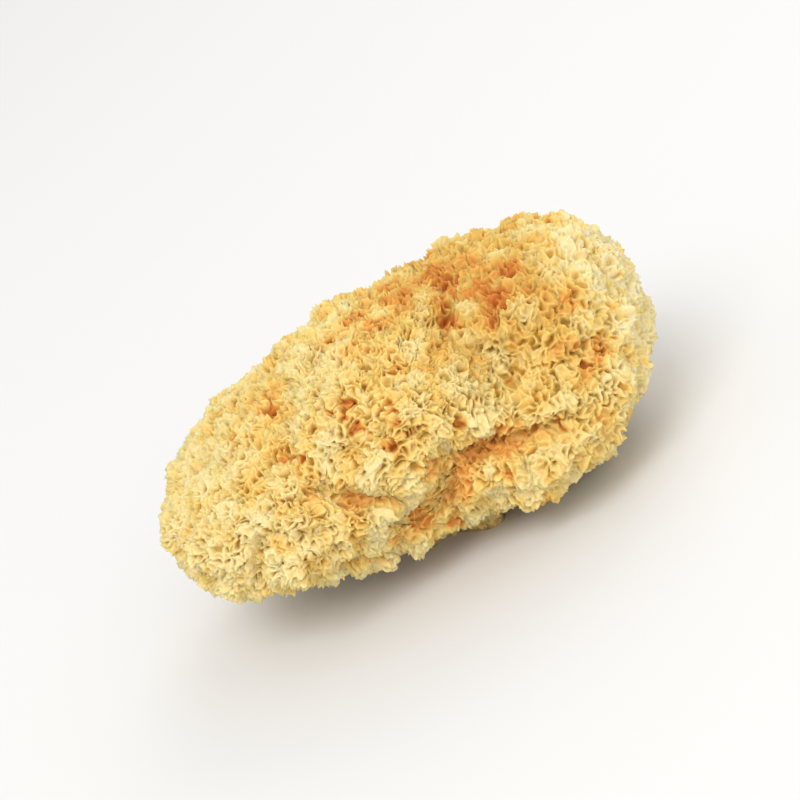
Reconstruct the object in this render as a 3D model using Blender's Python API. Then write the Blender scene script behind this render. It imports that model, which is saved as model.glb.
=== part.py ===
"""Dried head of snow fungus, grown as one piece and trimmed flat underneath.

Metres, +Z up. X runs along the head's length and -Y is the side seen in the photograph.
The origin is the middle of the trimmed base, which lies in the plane z = 0.

The head is a bun of tightly packed fronds. The solid reaches the tips of the fronds, so
it has the lobes, folds, furrows and frond clumps that are seen from a step away.
"""
from collections import namedtuple
from math import cos, exp, pi, radians, sin, sqrt

import bmesh
import bpy
from mathutils import Matrix, Vector, noise

# Overall size over the frond tips
LENGTH = 0.124
DEPTH = 0.094
HEIGHT = 0.058

# Cells of the starting box along X, Y and Z, each about 3.2 mm on the finished head
CELLS = (38, 29, 19)

# The lobes meet around this point, so the surface is one distance outwards from it
HEART = Vector((0.0, 0.0, 0.025))

# Higher values cut the valleys between the lobes deeper
LOBE_SHARPNESS = 34

# The photograph looks at the front of the head from this angle above it and this distance
VIEW_RISE = radians(20)
VIEW_DISTANCE = 0.443
VIEW_HEIGHT = 0.029

# The features are measured from this spot of the view, about the middle of the outline
SEEN_MIDDLE = Vector((0.0020, -0.0036))

# Features that only the photographed side has fade out between these depths
FRONT_EDGE = -0.004
BACK_EDGE = 0.012

Lobe = namedtuple("Lobe", "centre radii")
LOBES = (
    Lobe((-0.0210, -0.0090, 0.0285), (0.0400, 0.0335, 0.0215)),
    Lobe((0.0000, -0.0040, 0.0310), (0.0390, 0.0400, 0.0285)),
    Lobe((0.0270, 0.0020, 0.0310), (0.0330, 0.0390, 0.0255)),
    Lobe((0.0230, -0.0100, 0.0200), (0.0345, 0.0365, 0.0190)),
    Lobe((-0.0230, -0.0040, 0.0235), (0.0345, 0.0345, 0.0165)),
    Lobe((-0.0220, 0.0140, 0.0260), (0.0370, 0.0320, 0.0220)),
    Lobe((0.0120, 0.0150, 0.0240), (0.0380, 0.0325, 0.0225)),
    Lobe((0.0295, 0.0060, 0.0235), (0.0330, 0.0310, 0.0185)),
    Lobe((0.0395, 0.0000, 0.0325), (0.0250, 0.0330, 0.0225)),
    Lobe((-0.0090, -0.0120, 0.0165), (0.0260, 0.0255, 0.0120)),
    Lobe((0.0100, 0.0020, 0.0120), (0.0285, 0.0250, 0.0220)),
)

# Main fold, where the upper lobe hangs over the lower right one: (right, up) as seen
FOLD_PATH = (
    (0.052, -0.0205),
    (0.026, -0.0185),
    (0.016, -0.015),
    (0.008, -0.014),
    (0.003, -0.012),
    (0.0015, -0.016),
    (-0.0035, -0.019),
    (-0.0085, -0.021),
    (-0.015, -0.0215),
)
FOLD_DEPTH = 0.0060
FOLD_WIDTH = 0.0032
FOLD_LIP = 0.0016

# The fold grows shallow from here to the right end, where this share of it is left
FOLD_FADE_START = 0.020
FOLD_FADE_END = 0.040
FOLD_END_SHARE = 0.15

# Hollow under the thin ledge left of the fold
LEDGE_PATH = ((-0.027, -0.005), (-0.022, -0.0095), (-0.0155, -0.014))
LEDGE_DEPTH = 0.0042
LEDGE_WIDTH = 0.0026

# Round rosette of fronds on the upper right
ROSETTE_CENTRE = (0.0198, 0.0109)
ROSETTE_RADIUS = 0.0056
ROSETTE_DEPTH = 0.0016
ROSETTE_WIDTH = 0.0016

# Furrows across the length of the right half
FURROW_PITCH = 0.0102
FURROW_DEPTH = 0.0011
FURROW_START = -0.002
FURROW_FULL = 0.013
FURROW_SWAY = 0.004
FURROW_SWAY_SPACING = 0.022

# Clumps of fronds: rounded lumps with narrow valleys between them
CLUMP_SPACING = 0.0115
CLUMP_HEIGHT = 0.0042

# Radius of a clump and width of a valley, as shares of the spacing
CLUMP_RADIUS = 0.75
CLUMP_VALLEY = 0.35

RIDGE_SPACING = 0.0070
RIDGE_HEIGHT = 0.0016
SWELL_SPACING = 0.034
SWELL_HEIGHT = 0.0022
NOISE_SHIFT = Vector((3.7, 1.9, 8.3))

# Corners closer together than this are merged where the base is cut
CUT_TOLERANCE = 0.0003


def clear_objects():
    """Remove whatever objects the open file holds."""
    for item in list(bpy.data.objects):
        bpy.data.objects.remove(item, do_unlink=True)


def box_grid():
    """A box from -1 to 1 on each axis, cut into an even grid of cells."""
    grid = bmesh.new()
    bmesh.ops.create_cube(grid, size=2.0)
    for axis, count in enumerate(CELLS):
        normal = Vector((0.0, 0.0, 0.0))
        normal[axis] = 1.0
        for step in range(1, count):
            place = normal * (2.0 * step / count - 1.0)
            geometry = grid.verts[:] + grid.edges[:] + grid.faces[:]
            bmesh.ops.bisect_plane(grid, geom=geometry, plane_co=place, plane_no=normal)
    return grid


def rounded(corner):
    """Move a point of the box onto the unit sphere, with the cells kept even."""
    x2, y2, z2 = (value * value for value in corner)
    return Vector((
        corner.x * sqrt(max(0.0, 1 - y2 / 2 - z2 / 2 + y2 * z2 / 3)),
        corner.y * sqrt(max(0.0, 1 - z2 / 2 - x2 / 2 + z2 * x2 / 3)),
        corner.z * sqrt(max(0.0, 1 - x2 / 2 - y2 / 2 + x2 * y2 / 3)),
    ))


def lobe_reach(lobe, direction):
    """Distance from the heart of the head to the surface of one lobe."""
    start = Vector((HEART[i] - lobe.centre[i]) / lobe.radii[i] for i in range(3))
    ray = Vector(direction[i] / lobe.radii[i] for i in range(3))
    a = ray.dot(ray)
    b = start.dot(ray)
    c = start.dot(start) - 1.0
    return max(0.0, -b + sqrt(max(0.0, b * b - a * c))) / a


def lobed_point(direction):
    """Surface point of all the lobes blended together."""
    total = sum(lobe_reach(lobe, direction) ** LOBE_SHARPNESS for lobe in LOBES)
    return HEART + direction * total ** (1.0 / LOBE_SHARPNESS)


def as_seen(point):
    """Where a point appears in the photograph: (right, up) from the head's middle."""
    height = point.z - VIEW_HEIGHT
    up = height * cos(VIEW_RISE) + point.y * sin(VIEW_RISE)
    nearer = height * sin(VIEW_RISE) - point.y * cos(VIEW_RISE)
    scale = VIEW_DISTANCE / (VIEW_DISTANCE - nearer)
    return Vector((point.x, up)) * scale - SEEN_MIDDLE


def near_path(spot, path):
    """Distance from a seen spot to a path, and how far it lies above the path."""
    best = None
    for start, end in zip(path, path[1:]):
        start = Vector(start)
        along = Vector(end) - start
        share = max(0.0, min(1.0, (spot - start).dot(along) / along.length_squared))
        offset = spot - (start + along * share)
        if best is None or offset.length < best.length:
            best = offset
    return best.length, best.y


def ramp(value, start, end):
    """0 up to the start, 1 from the end on, and even in between."""
    return max(0.0, min(1.0, (value - start) / (end - start)))


def front_share(point):
    """1 on the side that the photograph shows, falling to 0 behind the crest."""
    return 1.0 - ramp(point.y, FRONT_EDGE, BACK_EDGE)


def fold_relief(point):
    """The main fold: a deep valley under the lip of the upper lobe."""
    gap, above = near_path(as_seen(point), FOLD_PATH)
    valley = -FOLD_DEPTH * exp(-((gap / FOLD_WIDTH) ** 2))
    lip = FOLD_LIP * exp(-(((above - 2 * FOLD_WIDTH) / FOLD_WIDTH) ** 2))
    lip *= exp(-((gap / (3 * FOLD_WIDTH)) ** 2))
    fade = ramp(point.x, FOLD_FADE_START, FOLD_FADE_END)
    return (valley + lip) * (1.0 - fade * (1.0 - FOLD_END_SHARE))


def ledge_relief(point):
    """The short hollow with a thin ledge above it."""
    gap, _ = near_path(as_seen(point), LEDGE_PATH)
    return -LEDGE_DEPTH * exp(-((gap / LEDGE_WIDTH) ** 2))


def rosette_relief(point):
    """The ring-shaped groove around the rosette."""
    gap = (as_seen(point) - Vector(ROSETTE_CENTRE)).length - ROSETTE_RADIUS
    return -ROSETTE_DEPTH * exp(-((gap / ROSETTE_WIDTH) ** 2))


def furrow_relief(point):
    """Shallow furrows that run over the right half, across its length."""
    share = ramp(point.x, FURROW_START, FURROW_FULL)
    sway = FURROW_SWAY * noise.noise(point / FURROW_SWAY_SPACING + NOISE_SHIFT)
    wave = 1.0 - abs(sin(pi * (point.x + sway) / FURROW_PITCH))
    return -FURROW_DEPTH * share * wave ** 2


def clump_relief(point):
    """Rounded clumps of fronds over the whole head."""
    distances, _ = noise.voronoi(point / CLUMP_SPACING + NOISE_SHIFT)
    dome = 1.0 - min(1.0, distances[0] / CLUMP_RADIUS) ** 2
    plateau = min(1.0, (distances[1] - distances[0]) / CLUMP_VALLEY)
    return CLUMP_HEIGHT * (0.6 * dome + 0.4 * plateau - 0.7)


def ridge_relief(point):
    """Short crooked ridges inside the clumps."""
    value = noise.noise(point / RIDGE_SPACING + NOISE_SHIFT * 2)
    return RIDGE_HEIGHT * (1.0 - 3.0 * abs(value))


def swell_relief(point):
    """Wide uneven swells, so that no lobe is a plain ellipsoid."""
    return SWELL_HEIGHT * noise.noise(point / SWELL_SPACING + NOISE_SHIFT * 3)


def relief(point):
    """How far the surface stands out from the blended lobes at a point."""
    seen_features = fold_relief(point) + ledge_relief(point) + rosette_relief(point)
    everywhere = furrow_relief(point) + clump_relief(point)
    everywhere += ridge_relief(point) + swell_relief(point)
    return everywhere + front_share(point) * seen_features


def shape_head(grid):
    """Turn the box grid into the lobed head with its relief."""
    stretch = Matrix.Diagonal(Vector((LENGTH, DEPTH, HEIGHT)))
    for corner in grid.verts:
        direction = (stretch @ rounded(corner.co)).normalized()
        point = lobed_point(direction)
        corner.co = point + direction * relief(point)


def bounds(grid):
    """Lowest and highest corner of the box around the mesh."""
    low = Vector(min(corner.co[axis] for corner in grid.verts) for axis in range(3))
    high = Vector(max(corner.co[axis] for corner in grid.verts) for axis in range(3))
    return low, high


def cut_base(grid):
    """Cut the head flat at z = 0 and close the cut with one face."""
    geometry = grid.verts[:] + grid.edges[:] + grid.faces[:]
    bmesh.ops.bisect_plane(grid, geom=geometry, dist=CUT_TOLERANCE, plane_co=(0, 0, 0),
                           plane_no=(0, 0, 1), clear_inner=True)
    for corner in grid.verts:
        if corner.co.z < CUT_TOLERANCE:
            corner.co.z = 0.0
    rim = [edge for edge in grid.edges if edge.is_boundary]
    rim_corners = list({corner for edge in rim for corner in edge.verts})
    bmesh.ops.remove_doubles(grid, verts=rim_corners, dist=CUT_TOLERANCE)
    rim = [edge for edge in grid.edges if edge.is_boundary]
    bmesh.ops.holes_fill(grid, edges=rim, sides=0)


def fit_to_size(grid):
    """Scale to the overall size, with the box centred over the origin."""
    low, high = bounds(grid)
    middle = (low + high) / 2
    scale = (LENGTH / (high.x - low.x), DEPTH / (high.y - low.y), HEIGHT / high.z)
    for corner in grid.verts:
        corner.co.x = (corner.co.x - middle.x) * scale[0]
        corner.co.y = (corner.co.y - middle.y) * scale[1]
        corner.co.z = corner.co.z * scale[2]


def dried_frond():
    """Cream to golden, dull and slightly translucent dried tissue."""
    material = bpy.data.materials.new("dried_frond")
    material.use_nodes = True
    shader = material.node_tree.nodes["Principled BSDF"]
    shader.inputs["Base Color"].default_value = (0.78, 0.55, 0.22, 1.0)
    shader.inputs["Roughness"].default_value = 0.75
    shader.inputs["Metallic"].default_value = 0.0
    return material


def build_head():
    """Make the one object of the part."""
    grid = box_grid()
    shape_head(grid)
    cut_base(grid)
    fit_to_size(grid)
    bmesh.ops.triangulate(grid, faces=grid.faces[:])
    bmesh.ops.recalc_face_normals(grid, faces=grid.faces[:])
    for face in grid.faces:
        face.smooth = max(corner.co.z for corner in face.verts) > CUT_TOLERANCE
    mesh = bpy.data.meshes.new("fungus_head")
    grid.to_mesh(mesh)
    grid.free()
    mesh.materials.append(dried_frond())
    head = bpy.data.objects.new("fungus_head", mesh)
    bpy.context.collection.objects.link(head)
    return head


clear_objects()
build_head()
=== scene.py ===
"""Looks of the dried snow fungus head: its frilled skin, the trimmed base and the studio.

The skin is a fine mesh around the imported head's form. Random waves raise it into short
curled fronds with pores between them, and the waves are the same in every run. Each corner
of the skin has a place on a colour chart, which the material turns into a colour.
"""
from itertools import combinations
from math import cos, pi, radians, sin

import bpy
import numpy as np
from mathutils import Matrix, Vector
from mathutils.bvhtree import BVHTree


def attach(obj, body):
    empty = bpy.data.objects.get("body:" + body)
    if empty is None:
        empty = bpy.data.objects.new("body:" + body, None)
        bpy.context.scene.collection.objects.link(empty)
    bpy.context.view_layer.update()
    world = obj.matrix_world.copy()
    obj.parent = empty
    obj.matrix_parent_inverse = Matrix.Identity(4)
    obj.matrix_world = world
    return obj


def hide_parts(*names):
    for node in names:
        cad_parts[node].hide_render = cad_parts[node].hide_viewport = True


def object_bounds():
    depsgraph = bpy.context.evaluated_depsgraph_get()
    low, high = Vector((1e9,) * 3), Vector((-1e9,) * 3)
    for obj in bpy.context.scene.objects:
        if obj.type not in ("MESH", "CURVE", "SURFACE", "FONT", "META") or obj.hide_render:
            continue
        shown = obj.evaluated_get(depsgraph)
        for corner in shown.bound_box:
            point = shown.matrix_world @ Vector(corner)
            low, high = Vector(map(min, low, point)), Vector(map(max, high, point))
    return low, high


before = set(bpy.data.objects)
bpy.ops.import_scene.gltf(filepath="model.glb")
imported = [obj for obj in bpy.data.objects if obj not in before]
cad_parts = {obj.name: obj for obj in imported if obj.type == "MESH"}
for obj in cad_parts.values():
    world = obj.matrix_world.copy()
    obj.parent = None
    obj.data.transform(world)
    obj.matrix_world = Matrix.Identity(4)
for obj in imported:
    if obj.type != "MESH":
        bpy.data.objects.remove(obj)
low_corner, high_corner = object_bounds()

MM = 0.001
NODE = "fungus_head"
UV_NAME = "OFBake"

# The skin is shared out from left to right over this many pieces
PIECES = 6

# Grids: the form is measured on the coarse one, and the skin is made on the fine one and
# then split once. Both reach this margin beyond the form
FINE = 0.57 * MM
COARSE_STEPS = 2
MARGIN = 3.5 * MM

# Every line from here to the form's surface stays inside the form
HEART = Vector((0.0, 0.0, 25.0 * MM))

# How often the measured form is blurred: little, to soften its facets, more for the
# direction that fronds grow in, and most for the broad form that valleys are told from
FACET_BLURS = 1
DIRECTION_BLURS = 4
BROAD_BLURS = 9

# Random waves: how many are summed, how unlike their lengths are, and for how many points
# at a time. Every spacing below is half of the waves' usual length
WAVES = 48
WAVE_SPREAD = 0.12
POINTS_AT_A_TIME = 100000

# The least length that a direction is divided by
TINY = 1e-6

# Fronds: how deep the skin lies that they grow on, how high they stand over the pores, how
# far apart they are, and how wide and how round their rims are. The fine fronds have a
# share of the height
SKIN_DEPTH = 1.15 * MM
FROND_HEIGHT = 2.2 * MM
FROND_SPACING = 1.12 * MM
FROND_RIM = 1.45
FROND_POWER = 1.05
FINE_SPACING = 0.82 * MM
FINE_RIM = 1.2
FINE_SHARE = 0.42

# The fronds wind about, and their rims curl to the side
BEND_SPACING = 1.7 * MM
BEND = 0.50 * MM
CURL_SPACING = 1.4 * MM
CURL = 0.40 * MM

# On the right half the fronds are longer across the head than along it
FURROW_EDGES = (-5.0 * MM, 28.0 * MM)
FURROW_STRETCH = 0.70

# Creases of the sides that the photograph doesn't show, where the broad waves of tone are
# high enough
CREASE_SPACING = 20.0 * MM
CREASE_WIDTH = 0.20
CREASE_SINK = 2.6 * MM
CREASE_TONE_EDGES = (-0.8, 0.2)

# Small pores where the fronds leave the widest gaps, sunk and darker on the colour chart,
# partly with painted shade
PORE_EDGES = (1.42, 2.0)
PORE_DEPTH = 0.5 * MM

# A few deep orange pits: those of the hidden sides are random, and those of the
# photographed side are listed below, with uneven outlines
PIT_SPACING = 2.8 * MM
PIT_EDGES = (1.5, 2.0)
PIT_DEPTH = 1.5 * MM
PIT_BEND = 1.6
PIT_WIDTH = 1.25
PIT_UNEVEN = 0.25
PIT_UNEVEN_LIMIT = 2.0

# Clumps and crumbs that stand out from the form, after all of it is sunk a little. Low on
# the left the clumps are larger. Waves higher or lower than the limit are cut off
TIP_SINK = 0.25 * MM
CLUMP_SPACING = 3.0 * MM
CLUMP = 0.50 * MM
LUMP = 0.45 * MM
CRUMB_SPACING = 1.3 * MM
CRUMB = 0.22 * MM
TIP_LIMIT = 1.6

# Broad and small changes of tone
TONE_SPACING = 12.0 * MM
SPOT_SPACING = 4.0 * MM

# How often the skin is smoothed before and after its clumps, and how much after its fronds
SKIN_RELAXES = 2
CLUMP_RELAXES = 1
FROND_RELAX = 0.22

# The skin is made to a little below the floor, and then nothing of it stays lower than the
# gap, so that the head rests on its trimmed base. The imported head's cut is below the gap
SKIN_END = -1.0 * MM
FLOOR_GAP = 0.05 * MM

# The camera looks from this angle above the head, and the head's length fills this share
# of the picture
VIEW_RISE = radians(20)
VIEW_ROLL = radians(29.5)
VIEW_LENS = 90.0
SENSOR = 36.0
FILL = 0.70
VIEW_MIDDLE = (low_corner + high_corner) / 2
VIEW_DISTANCE = (high_corner.x - low_corner.x) / FILL * VIEW_LENS / SENSOR

# The photographed side, as (right, up) in millimetres in that view from this spot, which
# is about the middle of the head's outline: the fold, the ledge's hollow and the rosette.
# To the right the fold fades, and its end share is below 0, so it ends as a low ridge
SEEN_MIDDLE = (2.0 * MM, -3.6 * MM)
FOLD_PATH = ((52, -20.5), (26, -18.5), (16, -15), (8, -14), (3, -12), (1.5, -16),
             (-3.5, -19), (-8.5, -21), (-15, -21.5))
FOLD_WIDTH = 1.9 * MM
FOLD_SINK = 1.4 * MM
FOLD_FADE = (18 * MM, 36 * MM)
FOLD_END_SHARE = -0.7
FOLD_LIP = 1.3 * MM
LEDGE_PATH = ((-27, -5), (-22, -9.5), (-15.5, -14))
LEDGE_WIDTH = 2.5 * MM
LEDGE_SINK = 2.5 * MM
LEDGE_LIP = 1.7 * MM
ROSETTE_CENTRE = (19.8, 10.9)
ROSETTE_RADIUS = 5.6 * MM
ROSETTE_WIDTH = 1.0 * MM
ROSETTE_SINK = 1.5 * MM

# A lip hangs over its valley: it starts this far above the path and ends this far above it
LIP_EDGES = (0.0 * MM, 1.5 * MM)
LIP_ENDS = (4.0 * MM, 9.0 * MM)
LIP_LEAST_GAP = 0.1 * MM

# The smoother floors of the fold and the hollow: how far below the path, and how wide
FOLD_FLOOR_DROP = 1.8 * MM
FOLD_FLOOR_WIDTH = 2.8 * MM
LEDGE_FLOOR_DROP = 1.2 * MM
LEDGE_FLOOR_WIDTH = 2.6 * MM

# Where the photographed side turns into the far side, with an uneven edge
FRONT_EDGES = (-8.0 * MM, 22.0 * MM)
FRONT_UNEVEN = 3.0 * MM

# The pale right end, the tan zone below the fold, and the larger lumps low on the left,
# whose upper edge rises by this much to the right
END_EDGES = (34 * MM, 54 * MM)
END_UNEVEN = 3.0 * MM
BELOW_EDGES = (2.0 * MM, 7.0 * MM)
BELOW_START = (0.0, 14 * MM)
LUMPY_RISE = 0.25
LUMPY_TOP = (-6.0 * MM, 8.0 * MM)
LUMPY_RIGHT = (-18.0 * MM, -4.0 * MM)

# By which share the fronds are lower on the right end and below the fold, on the floors,
# and in the pits
SMOOTHER_LOWER = 0.18
FLOOR_LOWER = 0.32
PIT_LOWER = 0.3

# Warm patches of the photographed side, and patches of painted shade where a neighbouring
# head shades the upper edge: (right, up, radius, how much warmer), and below 0 where it is paler
TINT_AND_SHADE_PATCHES = (
    # Painted shade of a neighbouring head along the upper edge
    (9.0, 27.0, 4.0, 0.42),
    (19.0, 20.5, 4.2, 0.45),
    (28.0, 12.0, 3.8, 0.42),
    # Other warmer patches
    (40.0, 6.5, 3.6, 0.46),
    (39.0, 17.0, 4.0, 0.22),
    (40.0, -7.5, 3.8, 0.75),
    # Painted shade of a neighbouring head along the upper edge
    (-4.0, 23.0, 5.5, 0.36),
    (3.0, 24.0, 4.5, 0.34),
    (26.0, 20.5, 3.6, 0.26),
    # Other warmer and paler patches
    (-9.0, -21.5, 2.6, 0.30),
    (1.8, -15.5, 2.2, 0.25),
    (3.8, -18.5, 3.2, 0.32),
    (-0.5, -21.7, 2.6, 0.25),
    (9.0, -19.5, 4.2, 0.80),
    (16.0, -18.0, 3.6, 0.20),
    (11.0, -24.0, 4.0, 0.15),
    (-10.0, 0.5, 6.0, 0.10),
    (20.0, -3.0, 5.5, -0.48),
    (30.0, -10.0, 5.0, -0.24),
    (26.0, -18.5, 4.5, -0.26),
    (36.0, -18.0, 4.5, -0.20),
)

# The patches and the floors are warmer between the fronds than on their rims, unevenly
PATCH_BEND = 2.0
PATCH_WARMTH = 1.30
PATCH_RIM_LOSS = 0.75
FOLD_WARMTH = 0.45
FOLD_WARM_FADE = (12 * MM, 27 * MM)
LEDGE_WARMTH = 0.36
FLOOR_WARMTH = 1.15
FLOOR_RIM_LOSS = 0.35
WARMTH_UNEVEN = 0.25
WARMTH_LIMIT = 1.5

# Small red pits of the photographed side: (right, up, radius)
RED_PITS = (
    (-28.0, 16.4, 1.3),
    (-17.0, 11.1, 1.0),
    (-12.5, 8.6, 1.6),
    (-13.0, 3.0, 1.2),
    (-5.3, 2.2, 1.3),
    (-9.3, -4.0, 1.2),
    (-38.3, 13.3, 0.9),
    (-28.8, 3.8, 0.9),
    (7.1, -7.0, 1.0),
    (22.3, -4.0, 0.6),
    (-3.6, -25.8, 1.4),
    (14.3, -13.5, 0.9),
    (26.2, -18.0, 0.8),
    (15.3, 13.1, 1.3),
    (27.3, 12.7, 1.4),
)

# Tone on the colour chart, from cream at 0 to orange at 1: its usual value, and how much
# the waves, the valleys, the creases and the zones of the head change it. It has a lowest
# value, which is lower on the front of the right end
TONE = 0.39
TONE_WAVE = 0.08
TONE_SPOT = 0.13
TONE_CRUMB = 0.05
TONE_END_CRUMB = 0.10
VALLEY_DEPTH = 2.2 * MM
VALLEY_LIMITS = (-0.4, 1.2)
VALLEY_WARMER = 0.28
CREASE_WARMER = 0.35
RIGHT_WARMER = 0.08
RIGHT_EDGES = (0.0, 20 * MM)
LEFT_PALER = 0.10
LEFT_EDGES = (-20 * MM, -55 * MM)
END_PALER = 0.24
END_BACK_SHARE = 0.4
LUMP_PALER = 0.10
SMOOTHER_PALER = 0.24
BELOW_PALER = 0.22
TONE_LOWEST = 0.10
END_LOWER = 0.08

# Rise on the colour chart, from 0 in a pore to 1 on a rim. Low rises are darker, partly as
# painted shade in pores and pits. The rims of the right part are darker with painted shade of
# a neighbouring head, most so high up, and the smoother zones are nearer to one even value
RISE_LOWEST = 0.25
RISE_SPAN = 0.75
SHADE = 0.14
SHADE_HIGH = 0.30
SHADE_HEIGHT = (-8 * MM, 5 * MM)
SHADE_START = (0.0, 16 * MM)
SHADE_END = (36 * MM, 50 * MM)
# Pits are darker on the chart, partly with painted shade
PIT_DARKER = 0.75
EVEN_RISE = 0.75
SMOOTHER_EVEN = 0.40
FLOOR_EVEN = 0.6
BELOW_DARKER = 0.12
CHART_EDGES = (0.02, 0.98)

# The trimmed base: rings of corners from near its middle to the stump's edge, which is
# looked for just above the floor, and a skirt that goes up inside the stump. The cut's
# shallow pores end before its rim
BASE_RINGS = 36
BASE_SIDES = 160
BASE_INSET = 0.5 * MM
BASE_SKIRT = 1.6 * MM
BASE_RELIEF = 0.35 * MM
BASE_PORE_START = 0.5
BASE_MIDDLE = 1e-4
BASE_RIM = 0.99
RAY_HEIGHT = 0.4 * MM

# Its own colour chart is round, and the skirt lies just outside the cut on it
BASE_CHART_MIDDLE = 0.5
BASE_CHART_REACH = 0.45
BASE_CHART_SKIRT = 1.08


def smooth_step(value, start, end):
    """0 up to the start, 1 from the end on, with soft ends."""
    share = np.clip((value - start) / (end - start), 0.0, 1.0)
    return share * share * (3.0 - 2.0 * share)


def bell(gap, width):
    """1 where the gap is 0, and near 0 beyond twice the width."""
    return np.exp(-((gap / width) ** 2))


class Waves:
    """A sum of random waves. Its zero levels lie about one and a half spacings apart."""

    def __init__(self, spacing, seed):
        random = np.random.default_rng(seed)
        ways = random.normal(size=(3, WAVES))
        ways /= np.linalg.norm(ways, axis=0)
        pace = pi / spacing * (1.0 + WAVE_SPREAD * random.normal(size=WAVES))
        self.ways = (ways * pace).astype(np.float32)
        self.start = random.uniform(0.0, 2.0 * pi, WAVES).astype(np.float32)

    def at(self, points):
        """Value at each point, spread evenly around 0 with a deviation of 1."""
        values = np.empty(len(points), np.float32)
        for first in range(0, len(points), POINTS_AT_A_TIME):
            some = slice(first, first + POINTS_AT_A_TIME)
            phase = points[some].astype(np.float32) @ self.ways + self.start
            values[some] = np.cos(phase).sum(1)
        return values * (2.0 / WAVES) ** 0.5

    def limited(self, points, limit):
        """Value at each point, cut off at a limit above and below 0."""
        return np.clip(self.at(points), -limit, limit)


def vector_waves(spacing, seed):
    """Three wave sums, one for each axis."""
    fields = [Waves(spacing, seed + axis) for axis in range(3)]
    return lambda points: np.stack([field.at(points) for field in fields], axis=1)


main_waves = Waves(FROND_SPACING, seed=11)
fine_waves = Waves(FINE_SPACING, seed=12)
clump_waves = Waves(CLUMP_SPACING, seed=13)
crumb_waves = Waves(CRUMB_SPACING, seed=14)
pit_waves = Waves(PIT_SPACING, seed=15)
crease_waves = Waves(CREASE_SPACING, seed=18)
tone_waves = Waves(TONE_SPACING, seed=16)
spot_waves = Waves(SPOT_SPACING, seed=17)
curl_waves = vector_waves(CURL_SPACING, seed=21)
bend_waves = vector_waves(BEND_SPACING, seed=31)


def axis_blur(grid, axis):
    """Average each value with its two neighbours along one axis."""
    padded = np.concatenate([
        np.take(grid, [0], axis), grid, np.take(grid, [-1], axis)], axis)
    count = grid.shape[axis]
    before = np.take(padded, np.arange(count), axis)
    after = np.take(padded, np.arange(count) + 2, axis)
    return 0.5 * grid + 0.25 * (before + after)


def blur(grid, times):
    """Blur a grid evenly along all three axes."""
    for _ in range(times):
        for axis in range(3):
            grid = axis_blur(grid, axis)
    return grid


def refine(grid, factor):
    """A grid with this many times the steps along each axis."""
    for axis in range(3):
        place = np.arange((grid.shape[axis] - 1) * factor + 1) / factor
        first = np.minimum(place.astype(int), grid.shape[axis] - 2)
        shape = [1, 1, 1]
        shape[axis] = -1
        share = (place - first).reshape(shape).astype(np.float32)
        grid = np.take(grid, first, axis) * (1 - share) + np.take(grid, first + 1, axis) * share
    return grid


class Form:
    """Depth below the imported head's surface, on a grid. The trimmed base doesn't count."""

    def __init__(self, node):
        self.low = np.array(low_corner) - MARGIN
        mesh = node.data
        corners = [corner.co.copy() for corner in mesh.vertices]
        faces = [tuple(face.vertices) for face in mesh.polygons]
        grown = [face for face in faces if max(corners[i].z for i in face) > FLOOR_GAP]
        self.skin = BVHTree.FromPolygons(corners, grown)
        self.whole = BVHTree.FromPolygons(corners, faces)
        coarse = self.measure(FINE * COARSE_STEPS)
        self.depth = refine(blur(coarse, FACET_BLURS), COARSE_STEPS)
        self.broad = refine(blur(coarse, BROAD_BLURS), COARSE_STEPS)
        self.slope = np.gradient(refine(blur(coarse, DIRECTION_BLURS), COARSE_STEPS), FINE)

    def measure(self, step):
        """Signed distances to the node's surface. It is star-shaped around its heart."""
        size = np.array(high_corner) + MARGIN - self.low
        depth = np.empty(np.ceil(size / step).astype(int) + 1, np.float32)
        for place in np.ndindex(*depth.shape):
            point = Vector(self.low + np.array(place) * step)
            away = self.skin.find_nearest(point)[3]
            above = Vector((point.x, point.y, max(point.z, FLOOR_GAP)))
            way = above - HEART
            reach = self.whole.ray_cast(HEART, way.normalized())[3]
            depth[place] = away if reach is None or way.length < reach else -away
        return depth

    def sample(self, grid, points):
        """Values of a grid between its own points."""
        place = (points - self.low) / FINE
        first = np.clip(place.astype(int), 0, np.array(grid.shape) - 2)
        share = (place - first).astype(np.float32)
        total = np.zeros(len(points), np.float32)
        for step in np.ndindex(2, 2, 2):
            weight = np.prod(np.where(step, share, 1.0 - share), axis=1)
            total += weight * grid[tuple((first + step).T)]
        return total

    def outward(self, points):
        """Unit directions that point out of the form."""
        slope = np.stack([self.sample(part, points) for part in self.slope], axis=1)
        return -slope / np.maximum(np.linalg.norm(slope, axis=1, keepdims=True), TINY)


# The corners of one step of the grid, and its edges as pairs of corners
CELL_CORNERS = np.array(list(np.ndindex(2, 2, 2)))
CELL_EDGES = [(a, b) for a, b in combinations(range(len(CELL_CORNERS)), 2)
              if np.abs(CELL_CORNERS[a] - CELL_CORNERS[b]).sum() == 1]


def zero_surface(field):
    """Surface net of a field's zero level, in grid steps."""
    values = np.stack([
        field[i:field.shape[0] - 1 + i, j:field.shape[1] - 1 + j, k:field.shape[2] - 1 + k]
        for i, j, k in CELL_CORNERS], axis=-1)
    above = (values > 0).sum(-1)
    cells = np.argwhere((above > 0) & (above < len(CELL_CORNERS)))
    values = values[tuple(cells.T)]
    total = np.zeros((len(cells), 3))
    crossings = np.zeros(len(cells))
    for a, b in CELL_EDGES:
        crossed = (values[:, a] > 0) != (values[:, b] > 0)
        gap = np.where(crossed, values[:, a] - values[:, b], 1.0)
        share = np.where(crossed, values[:, a] / gap, 0.0)[:, None]
        spot = CELL_CORNERS[a] + share * (CELL_CORNERS[b] - CELL_CORNERS[a])
        total += spot * crossed[:, None]
        crossings += crossed
    points = cells + total / crossings[:, None]
    number = np.full(np.array(field.shape) - 1, -1, np.int64)
    number[tuple(cells.T)] = np.arange(len(cells))
    return points, np.concatenate([quads_across(field, number, axis) for axis in range(3)])


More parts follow.
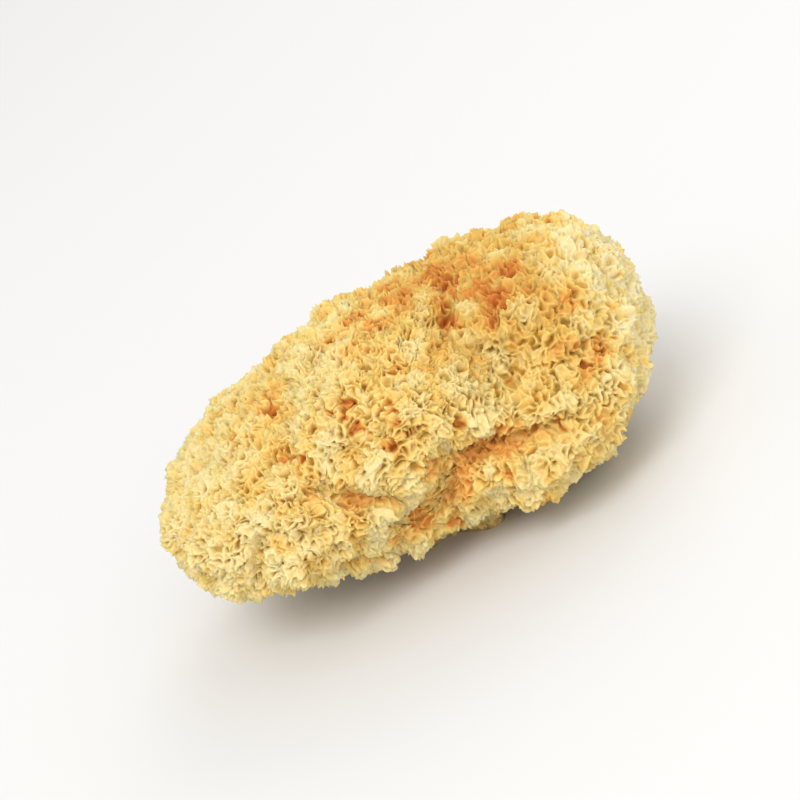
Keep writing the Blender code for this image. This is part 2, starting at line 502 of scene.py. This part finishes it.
def quads_across(field, number, axis):
    """Quads around the grid edges along one axis that cross the zero level, facing out."""
    low_side = np.take(field, np.arange(field.shape[axis] - 1), axis)
    high_side = np.take(field, np.arange(1, field.shape[axis]), axis)
    edges = np.argwhere((low_side > 0) != (high_side > 0))
    second, third = (axis + 1) % 3, (axis + 2) % 3
    inside = (edges[:, second] > 0) & (edges[:, third] > 0)
    for other in (second, third):
        inside &= edges[:, other] < number.shape[other]
    edges = edges[inside]
    ring = []
    for back_second, back_third in ((0, 0), (1, 0), (1, 1), (0, 1)):
        cell = edges.copy()
        cell[:, second] -= back_second
        cell[:, third] -= back_third
        ring.append(number[tuple(cell.T)])
    quads = np.stack(ring, axis=1)
    rising = high_side[tuple(edges.T)] > 0
    quads[rising] = quads[rising][:, ::-1]
    return quads


def used_only(points, quads):
    """The corners that some quad uses, the quads renumbered, and which corners those are."""
    used, numbers = np.unique(quads, return_inverse=True)
    return points[used], numbers.reshape(quads.shape), used


def quad_sides(points, quads):
    """The mesh's edges as pairs of corners, and the number of each quad's four edges."""
    sides = np.stack([quads, np.roll(quads, -1, axis=1)], axis=-1).reshape(-1, 2)
    keys = sides.min(axis=1) * len(points) + sides.max(axis=1)
    edges, numbers = np.unique(keys, return_inverse=True)
    pairs = np.stack([edges // len(points), edges % len(points)], axis=1)
    return pairs, numbers.reshape(-1, 4)


def split_quads(points, quads):
    """Split every quad in four."""
    pairs, numbers = quad_sides(points, quads)
    edge_points = points[pairs].mean(axis=1)
    centres = points[quads].mean(axis=1)
    edge = len(points) + numbers
    centre = len(points) + len(pairs) + np.arange(len(quads))
    parts = [np.stack([quads[:, i], edge[:, i], centre, edge[:, i - 1]], axis=1) for i in range(4)]
    return np.concatenate([points, edge_points, centres]), np.concatenate(parts)


def relax(points, quads, times, share=0.5):
    """Smooth a mesh by moving each corner towards the middle of its neighbours."""
    pairs, _ = quad_sides(points, quads)
    ends = np.concatenate([pairs, pairs[:, ::-1]])
    count = np.bincount(ends[:, 0], minlength=len(points))
    for _ in range(times):
        middle = np.stack([
            np.bincount(ends[:, 0], weights=points[ends[:, 1], axis], minlength=len(points))
            for axis in range(3)], axis=1) / count[:, None]
        points = (1.0 - share) * points + share * middle
    return points


def as_seen(points):
    """Where points appear in the photograph: right and up from the head's middle."""
    right, back, above = (points - np.array(VIEW_MIDDLE)).T
    up = above * cos(VIEW_RISE) + back * sin(VIEW_RISE)
    nearer = above * sin(VIEW_RISE) - back * cos(VIEW_RISE)
    scale = VIEW_DISTANCE / (VIEW_DISTANCE - nearer)
    return np.stack([right * scale, up * scale], axis=1) - SEEN_MIDDLE


def path_offset(seen, path):
    """Offsets of seen spots from a path in millimetres, and how far they lie above it."""
    offset = np.full(seen.shape, np.inf)
    height = np.full(len(seen), np.inf)
    corners = np.array(path) * MM
    for start, end in zip(corners, corners[1:]):
        along = end - start
        share = np.clip((seen - start) @ along / (along @ along), 0.0, 1.0)
        gap = seen - start - share[:, None] * along
        length = np.linalg.norm(gap, axis=1)
        side = np.sign((along[0] * gap[:, 1] - along[1] * gap[:, 0]) * along[0])
        nearer = length < np.abs(height)
        offset[nearer] = gap[nearer]
        height[nearer] = (length * np.where(side < 0, -1.0, 1.0))[nearer]
    return offset, height


def height_above(seen, path):
    """How far seen spots lie above a path, and below 0 where they lie under it."""
    return path_offset(seen, path)[1]


def spot_gap(seen, spot):
    """Distance from seen spots to one spot that is given in millimetres."""
    return np.linalg.norm(seen - np.array(spot) * MM, axis=1)


def front_share(points):
    """1 on the photographed side and 0 on the far side."""
    uneven = points[:, 1] + FRONT_UNEVEN * tone_waves.at(points)
    return 1.0 - smooth_step(uneven, *FRONT_EDGES)


def end_share(points):
    """1 on the pale right end, with an uneven edge."""
    return smooth_step(points[:, 0] + END_UNEVEN * tone_waves.at(points), *END_EDGES)


def below_share(points):
    """1 on the tan zone below the fold, where the fronds are low."""
    height = height_above(as_seen(points), FOLD_PATH)
    below = smooth_step(-height, *BELOW_EDGES) * smooth_step(points[:, 0], *BELOW_START)
    return below * front_share(points)


def smoother_share(points):
    """1 where the fronds are low: below the fold and on the right end."""
    return np.maximum(below_share(points), end_share(points) * front_share(points))


def floor_shares(points):
    """1 on the smoother floor of the fold, and 1 on that of the ledge's hollow."""
    seen = as_seen(points)
    front = front_share(points)
    fold = bell(height_above(seen, FOLD_PATH) + FOLD_FLOOR_DROP, FOLD_FLOOR_WIDTH)
    fold *= 1.0 - smooth_step(points[:, 0], *FOLD_FADE)
    ledge = bell(height_above(seen, LEDGE_PATH) + LEDGE_FLOOR_DROP, LEDGE_FLOOR_WIDTH)
    return fold * front, ledge * front


def floor_share(points):
    """1 on both smoother floors."""
    return np.maximum(*floor_shares(points))


def crease_share(points):
    """1 along the creases of the sides that the photograph doesn't show."""
    creases = bell(crease_waves.at(points), CREASE_WIDTH)
    creases *= smooth_step(tone_waves.at(points), *CREASE_TONE_EDGES)
    return creases * (1.0 - front_share(points))


def lumpy_share(points):
    """1 low on the left of the photographed side, where the fronds stand in larger lumps."""
    seen = as_seen(points)
    low = 1.0 - smooth_step(seen[:, 1] - LUMPY_RISE * seen[:, 0], *LUMPY_TOP)
    left = 1.0 - smooth_step(seen[:, 0], *LUMPY_RIGHT)
    return low * left * front_share(points) * (1.0 - floor_share(points))


def frond_places(points):
    """Where the frond waves are read: bent, and stretched across the head on its right half."""
    bent = points + BEND * bend_waves(points)
    right = smooth_step(bent[:, 0], *FURROW_EDGES)
    stretch = 1.0 - (1.0 - FURROW_STRETCH) * right
    return bent * np.stack([np.ones(len(bent)), stretch, stretch], axis=1)


def frond_rise(points):
    """Height of the curled fronds over the pores between them: 0 in pores and 1 on rims."""
    places = frond_places(points)
    main = 1.0 - np.clip(np.abs(main_waves.at(places)) / FROND_RIM, 0.0, 1.0) ** FROND_POWER
    fine = 1.0 - np.clip(np.abs(fine_waves.at(places)) / FINE_RIM, 0.0, 1.0)
    return (1.0 - FINE_SHARE) * main + FINE_SHARE * fine


def pore_share(points):
    """1 in the middle of the small dark pores between fronds."""
    return smooth_step(np.abs(main_waves.at(frond_places(points))), *PORE_EDGES)


def pit_share(points):
    """1 in the middle of the few deep pits and 0 outside them."""
    front = front_share(points)
    pits = smooth_step(pit_waves.at(points), *PIT_EDGES) * (1.0 - front)
    seen = as_seen(points + PIT_BEND * BEND * bend_waves(points))
    uneven = 1.0 + PIT_UNEVEN * crumb_waves.limited(points, PIT_UNEVEN_LIMIT)
    for right, up, radius in RED_PITS:
        gap = spot_gap(seen, (right, up)) * uneven
        pits = np.maximum(pits, bell(gap, PIT_WIDTH * radius * MM) * front)
    return pits


def seen_sink(points):
    """How far the fold, the ledge's hollow and the rosette's ring lie below the form."""
    seen = as_seen(points)
    fold = FOLD_SINK * bell(height_above(seen, FOLD_PATH), FOLD_WIDTH)
    fold *= 1.0 - (1.0 - FOLD_END_SHARE) * smooth_step(points[:, 0], *FOLD_FADE)
    ledge = LEDGE_SINK * bell(height_above(seen, LEDGE_PATH), LEDGE_WIDTH)
    ring = spot_gap(seen, ROSETTE_CENTRE) - ROSETTE_RADIUS
    rosette = ROSETTE_SINK * bell(ring, ROSETTE_WIDTH)
    return (fold + ledge + rosette) * front_share(points)


def lip_push(points):
    """How the lips above the fold and the ledge's hollow hang down over them."""
    seen = as_seen(points)
    push = np.zeros(seen.shape)
    fold_lip = FOLD_LIP * (1.0 - smooth_step(points[:, 0], *FOLD_FADE))
    for path, reach in ((FOLD_PATH, fold_lip), (LEDGE_PATH, LEDGE_LIP)):
        offset, height = path_offset(seen, path)
        share = smooth_step(height, *LIP_EDGES) * (1.0 - smooth_step(height, *LIP_ENDS))
        way = -offset / np.maximum(np.abs(height), LIP_LEAST_GAP)[:, None]
        push += way * (reach * share)[:, None]
    push *= front_share(points)[:, None]
    return np.stack([push[:, 0], push[:, 1] * sin(VIEW_RISE), push[:, 1] * cos(VIEW_RISE)], axis=1)


def tip_relief(points):
    """How far the clumps and crumbs stand out from the form."""
    clumps = (CLUMP + LUMP * lumpy_share(points)) * clump_waves.limited(points, TIP_LIMIT)
    crumbs = CRUMB * crumb_waves.limited(points, TIP_LIMIT)
    creases = CREASE_SINK * crease_share(points)
    return clumps + crumbs - TIP_SINK - seen_sink(points) - creases


def seen_tint_and_shade(points, rise):
    """How much warmer the photographed side's patches and floors are, most so between fronds.
    Some patches are painted shade, where a neighbouring head shades the upper edge.
    """
    seen = as_seen(points + PATCH_BEND * BEND * bend_waves(points))
    patches = np.zeros(len(points))
    for right, up, radius, warmer in TINT_AND_SHADE_PATCHES:
        patches += warmer * bell(spot_gap(seen, (right, up)), radius * MM)
    uneven = WARMTH_UNEVEN * spot_waves.limited(points, WARMTH_LIMIT)
    patches *= PATCH_WARMTH - PATCH_RIM_LOSS * rise + uneven
    fold, ledge = floor_shares(points)
    fold *= 1.0 - smooth_step(points[:, 0], *FOLD_WARM_FADE)
    floors = np.maximum(FOLD_WARMTH * fold, LEDGE_WARMTH * ledge)
    floors *= FLOOR_WARMTH - FLOOR_RIM_LOSS * rise + uneven
    return patches * front_share(points) + floors


def chart_tone(form, points, rise, pits):
    """Tone on the colour chart, from cream at 0 to orange at 1."""
    valley = form.sample(form.broad, points) - form.sample(form.depth, points)
    end = end_share(points)
    front = front_share(points)
    below = below_share(points)
    tone = TONE + TONE_WAVE * tone_waves.at(points) + TONE_SPOT * spot_waves.at(points)
    tone += (TONE_CRUMB + TONE_END_CRUMB * end) * crumb_waves.at(points)
    tone += VALLEY_WARMER * np.clip(valley / VALLEY_DEPTH, *VALLEY_LIMITS)
    tone += seen_tint_and_shade(points, rise) + pits + CREASE_WARMER * crease_share(points)
    tone += RIGHT_WARMER * smooth_step(points[:, 0], *RIGHT_EDGES)
    tone -= END_PALER * end * (END_BACK_SHARE + (1.0 - END_BACK_SHARE) * front)
    tone -= LEFT_PALER * smooth_step(points[:, 0], *LEFT_EDGES)
    tone -= LUMP_PALER * lumpy_share(points) * clump_waves.limited(points, TIP_LIMIT)
    tone -= SMOOTHER_PALER * (smoother_share(points) - below) + BELOW_PALER * below
    return np.clip(tone, TONE_LOWEST - END_LOWER * end * front, CHART_EDGES[1])


def chart_rise(points, rise, pits):
    """Rise on the colour chart, from 0 in a pore to 1 on a rim."""
    # Painted shade of a neighbouring head: the right part's rims are darker, most so high up
    high = smooth_step(as_seen(points)[:, 1], *SHADE_HEIGHT)
    shade = (SHADE + SHADE_HIGH * high) * smooth_step(points[:, 0], *SHADE_START)
    shade *= 1.0 - smooth_step(points[:, 0], *SHADE_END)
    rise = RISE_LOWEST + (RISE_SPAN - shade) * rise
    # Pores and pits are darker on the chart: partly painted shade in them
    rise = rise * (1.0 - pore_share(points)) * (1.0 - PIT_DARKER * pits)
    even = np.maximum(SMOOTHER_EVEN * smoother_share(points), FLOOR_EVEN * floor_share(points))
    rise += (EVEN_RISE - rise) * even
    rise -= BELOW_DARKER * below_share(points)
    return np.clip(rise, *CHART_EDGES)


def add_object(name, data):
    """A new object in the scene, with a mesh, a light or a camera."""
    item = bpy.data.objects.new(name, data)
    bpy.context.scene.collection.objects.link(item)
    return item


def make_mesh(name, points, quads, chart_place, material):
    """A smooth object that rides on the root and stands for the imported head."""
    mesh = bpy.data.meshes.new(name)
    mesh.vertices.add(len(points))
    mesh.vertices.foreach_set("co", points.astype(np.float32).ravel())
    mesh.loops.add(quads.size)
    mesh.loops.foreach_set("vertex_index", quads.astype(np.int32).ravel())
    mesh.polygons.add(len(quads))
    mesh.polygons.foreach_set("loop_start", np.arange(len(quads), dtype=np.int32) * 4)
    mesh.polygons.foreach_set("use_smooth", np.ones(len(quads), bool))
    mesh.update(calc_edges=True)
    chart = mesh.uv_layers.new(name=UV_NAME)
    chart.uv.foreach_set("vector", chart_place[quads.ravel()].astype(np.float32).ravel())
    mesh.materials.append(material)
    piece = add_object(name, mesh)
    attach(piece, "root")
    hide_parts(NODE)


def skin_mesh(form):
    """The form's surface down to the floor, as small quads with the clumps raised."""
    points, quads = zero_surface(form.depth - SKIN_DEPTH)
    points = form.low + points * FINE
    quads = quads[(points[quads][:, :, 2] > SKIN_END).any(axis=1)]
    points, quads, _ = used_only(points, quads)
    points, quads = split_quads(points, quads)
    points = relax(points, quads, SKIN_RELAXES)
    points += form.outward(points) * tip_relief(points)[:, None] + lip_push(points)
    return relax(points, quads, CLUMP_RELAXES), quads


def frond_lift(points, rise, pits):
    """How far the fronds lift the skin, and below 0 where pores and pits sink it."""
    lower = np.maximum(SMOOTHER_LOWER * smoother_share(points), FLOOR_LOWER * floor_share(points))
    height = FROND_HEIGHT * (1.0 - np.maximum(lower, PIT_LOWER * pits))
    lift = SKIN_DEPTH - height * (1.0 - rise) - PIT_DEPTH * pits
    return lift - PORE_DEPTH * pore_share(points)


def grow_fronds(form, material):
    """The curled fronds of the head, in a few pieces from left to right."""
    points, quads = skin_mesh(form)
    outward = form.outward(points)
    rise = frond_rise(points)
    pits = pit_share(points)
    tone = chart_tone(form, points, rise, pits)
    chart = np.stack([tone, chart_rise(points, rise, pits)], axis=1)
    push = CURL * curl_waves(points)
    push -= outward * (push * outward).sum(axis=1, keepdims=True)
    points += outward * frond_lift(points, rise, pits)[:, None]
    points += push * (rise ** 2)[:, None]
    points = relax(points, quads, 1, FROND_RELAX)
    quads = quads[(points[quads][:, :, 2] > 0).any(axis=1)]
    points[:, 2] = np.maximum(points[:, 2], FLOOR_GAP)
    order = np.argsort(points[quads[:, 0], 0], kind="stable")
    for number, part in enumerate(np.array_split(order, PIECES), 1):
        some_points, some_quads, used = used_only(points, quads[part])
        make_mesh(f"fronds_{number}", some_points, some_quads, chart[used], material)


def stump_reach(form, middle, angle):
    """Distance from the middle of the cut to the stump's side."""
    start = Vector((middle.x, middle.y, RAY_HEIGHT))
    return form.whole.ray_cast(start, Vector((cos(angle), sin(angle), 0.0)))[3]


def trim_base(form, node, material):
    """The flat cut that the head rests on, with the cut fronds' shallow pores."""
    cut = [corner.co for corner in node.data.vertices if corner.co.z < FLOOR_GAP]
    middle = sum(cut, Vector()) / len(cut)
    angles = np.arange(BASE_SIDES) * 2.0 * pi / BASE_SIDES
    reach = np.array([stump_reach(form, middle, angle) for angle in angles]) - BASE_INSET
    shares = np.append(np.linspace(0.0, 1.0, BASE_RINGS), 1.0)
    shares[0] = BASE_MIDDLE
    ways = np.stack([np.cos(angles), np.sin(angles)], axis=1)
    flat = np.array(middle)[:2] + shares[:, None, None] * (reach[:, None] * ways)
    points = np.concatenate([flat, np.zeros(flat.shape[:2] + (1,))], axis=2)
    waves = np.abs(main_waves.at(points.reshape(-1, 3))).reshape(points.shape[:2])
    pores = np.clip(waves - BASE_PORE_START, 0.0, 1.0) * BASE_RELIEF
    points[:, :, 2] = pores * (shares < BASE_RIM)[:, None]
    points[-1, :, 2] = BASE_SKIRT
    chart = shares.copy()
    chart[-1] = BASE_CHART_SKIRT
    chart_place = BASE_CHART_MIDDLE + BASE_CHART_REACH * chart[:, None, None] * ways
    number = np.arange(len(shares) * BASE_SIDES).reshape(len(shares), BASE_SIDES)
    beside = np.roll(number, -1, axis=1)
    quads = np.stack([number[:-1], beside[:-1], beside[1:], number[1:]], axis=-1).reshape(-1, 4)
    make_mesh("cut_base", points.reshape(-1, 3), quads, chart_place.reshape(-1, 2), material)


# Colours of the skin, as (rise, red, green, blue) from pore to rim, where the head is creamy,
# pale, golden and orange. Each is darker towards the pore, partly the deeper tissue's own
# colour and partly painted shade
CREAM = (
    (0.0, 0.45, 0.30, 0.08),
    (0.25, 0.63, 0.475, 0.19),
    (0.6, 0.75, 0.635, 0.335),
    (1.0, 0.78, 0.68, 0.43),
)
PALE = (
    (0.0, 0.44, 0.28, 0.06),
    (0.25, 0.63, 0.455, 0.155),
    (0.6, 0.76, 0.615, 0.28),
    (1.0, 0.79, 0.665, 0.37),
)
GOLDEN = (
    (0.0, 0.42, 0.22, 0.03),
    (0.25, 0.59, 0.35, 0.07),
    (0.6, 0.74, 0.505, 0.14),
    (1.0, 0.80, 0.605, 0.23),
)
ORANGE = (
    (0.0, 0.40, 0.11, 0.015),
    (0.25, 0.52, 0.17, 0.03),
    (0.6, 0.66, 0.30, 0.06),
    (1.0, 0.78, 0.47, 0.14),
)

# The tones over which cream turns pale, pale turns golden and golden turns orange
PALE_TONES = (0.02, 0.10)
GOLDEN_TONES = (0.10, 0.50)
ORANGE_TONES = (0.50, 0.95)

# Colours of the cut, as (grain, red, green, blue)
CUT_COLOURS = (
    (0.30, 0.36, 0.19, 0.07),
    (0.55, 0.62, 0.40, 0.17),
    (0.75, 0.74, 0.55, 0.28),
)

# Fine wrinkles of the tissue: how many go into a metre, and how strong they are
FROND_GRAIN = (900.0, 0.30)
CUT_GRAIN = (420.0, 0.45)
GRAIN_DETAIL = 3.0
GRAIN_DEPTH = 0.25 * MM

# The dull, slightly see-through finish of dried tissue
DULL_FINISH = {
    "Roughness": 0.70,
    "Specular IOR Level": 0.20,
    "Subsurface Weight": 0.50,
    "Subsurface Radius": (1.0, 0.55, 0.20),
    "Subsurface Scale": 2.0 * MM,
}

# A Mix node has several sockets of each name. These are its colours
MIX_FIRST, MIX_SECOND, MIX_RESULT = 6, 7, 2


def colour_ramp(nodes, links, source, stops):
    """A colour ramp with stops of (place, red, green, blue)."""
    ramp = nodes.new("ShaderNodeValToRGB")
    ramp.color_ramp.interpolation = "LINEAR"
    elements = ramp.color_ramp.elements
    while len(elements) < len(stops):
        elements.new(0.5)
    for element, (place, red, green, blue) in zip(elements, stops):
        element.position = place
        element.color = (red, green, blue, 1.0)
    links.new(source, ramp.inputs["Fac"])
    return ramp.outputs["Color"]


def mix_by_tone(nodes, links, tone, span, first, second):
    """Mix two colours as the tone goes from the start to the end of its span."""
    share = nodes.new("ShaderNodeMapRange")
    share.inputs["From Min"].default_value = span[0]
    share.inputs["From Max"].default_value = span[1]
    links.new(tone, share.inputs["Value"])
    mix = nodes.new("ShaderNodeMix")
    mix.data_type = "RGBA"
    links.new(share.outputs["Result"], mix.inputs["Factor"])
    links.new(first, mix.inputs[MIX_FIRST])
    links.new(second, mix.inputs[MIX_SECOND])
    return mix.outputs[MIX_RESULT]


def add_grain(nodes, links, shader, scale, strength):
    """Fine wrinkles of the dried tissue, as a bump."""
    grain = nodes.new("ShaderNodeTexNoise")
    grain.inputs["Scale"].default_value = scale
    grain.inputs["Detail"].default_value = GRAIN_DETAIL
    where = nodes.new("ShaderNodeTexCoord")
    links.new(where.outputs["Object"], grain.inputs["Vector"])
    bump = nodes.new("ShaderNodeBump")
    bump.inputs["Strength"].default_value = strength
    bump.inputs["Distance"].default_value = GRAIN_DEPTH
    links.new(grain.outputs["Fac"], bump.inputs["Height"])
    links.new(bump.outputs["Normal"], shader.inputs["Normal"])
    return grain.outputs["Fac"]


def new_material(name, finish):
    """A material whose shader has these values, with its nodes, links and shader."""
    material = bpy.data.materials.new(name)
    material.use_nodes = True
    shader = material.node_tree.nodes["Principled BSDF"]
    for socket, value in finish.items():
        shader.inputs[socket].default_value = value
    return material, material.node_tree.nodes, material.node_tree.links, shader


def frond_material():
    """Dried fronds: pale rims, golden sides, and orange where they are thick or deep.
    Pores, pits and some patches are darker with painted shade.
    """
    material, nodes, links, shader = new_material("dried_frond_skin", DULL_FINISH)
    chart = nodes.new("ShaderNodeUVMap")
    chart.uv_map = UV_NAME
    parts = nodes.new("ShaderNodeSeparateXYZ")
    links.new(chart.outputs["UV"], parts.inputs["Vector"])
    tone, rise = parts.outputs["X"], parts.outputs["Y"]
    colour = colour_ramp(nodes, links, rise, CREAM)
    for span, stops in ((PALE_TONES, PALE), (GOLDEN_TONES, GOLDEN), (ORANGE_TONES, ORANGE)):
        warmer = colour_ramp(nodes, links, rise, stops)
        colour = mix_by_tone(nodes, links, tone, span, colour, warmer)
    links.new(colour, shader.inputs["Base Color"])
    add_grain(nodes, links, shader, *FROND_GRAIN)
    return material


def cut_material():
    """The trimmed base: dense tan tissue, browner in its grain."""
    material, nodes, links, shader = new_material("dried_frond_cut", DULL_FINISH)
    grain = add_grain(nodes, links, shader, *CUT_GRAIN)
    links.new(colour_ramp(nodes, links, grain, CUT_COLOURS), shader.inputs["Base Color"])
    return material


# The studio, in metres and watts: a pale floor, and soft square lights at these places
FLOOR_HALF = 4.0
FLOOR_FINISH = {
    "Base Color": (0.74, 0.74, 0.74, 1.0),
    "Roughness": 0.7,
}
LIGHTS = (
    ("key", (-0.9, -2.1, 2.6), 60.0),
    ("front", (0.9, -3.0, 1.2), 26.0),
    ("back", (1.4, 2.6, 2.0), 26.0),
)
LIGHT_SIDE = 2.0
WORLD_COLOUR = (1.0, 0.985, 0.96, 1.0)
WORLD_STRENGTH = 0.80


def make_floor():
    """A plain pale floor that fills the picture."""
    mesh = bpy.data.meshes.new("floor")
    half = FLOOR_HALF
    corners = [(-half, -half, 0), (half, -half, 0), (half, half, 0), (-half, half, 0)]
    mesh.from_pydata(corners, [], [(0, 1, 2, 3)])
    mesh.materials.append(new_material("floor", FLOOR_FINISH)[0])
    floor = add_object("floor", mesh)


def aim(item, place, roll=0.0):
    """Put an object at a place and point it at the middle of the head."""
    item.location = place
    turn = (VIEW_MIDDLE - place).to_track_quat("-Z", "Y").to_matrix().to_4x4()
    item.rotation_euler = (turn @ Matrix.Rotation(roll, 4, "Z")).to_euler()


def add_light(name, place, power):
    """A square soft light that shines on the head."""
    light = bpy.data.lights.new(name, "AREA")
    light.size = LIGHT_SIDE
    light.energy = power
    aim(add_object(name, light), Vector(place))


def light_studio():
    """Soft lights in front, above and behind, and an even pale surrounding."""
    for name, place, power in LIGHTS:
        add_light(name, place, power)
    world = bpy.data.worlds.new("studio")
    world.use_nodes = True
    background = world.node_tree.nodes["Background"]
    background.inputs["Color"].default_value = WORLD_COLOUR
    background.inputs["Strength"].default_value = WORLD_STRENGTH
    bpy.context.scene.world = world
    bpy.context.scene.view_settings.view_transform = "Standard"


def add_camera():
    """The camera at the photograph's angle, turned so that the head lies aslant."""
    camera = bpy.data.cameras.new("camera")
    camera.lens = VIEW_LENS
    camera.sensor_width = SENSOR
    eye = add_object("camera", camera)
    back = Vector((0.0, -cos(VIEW_RISE), sin(VIEW_RISE)))
    aim(eye, VIEW_MIDDLE + back * VIEW_DISTANCE, -VIEW_ROLL)
    bpy.context.scene.camera = eye


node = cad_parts[NODE]
form = Form(node)
grow_fronds(form, frond_material())
trim_base(form, node, cut_material())
make_floor()
light_studio()
add_camera()
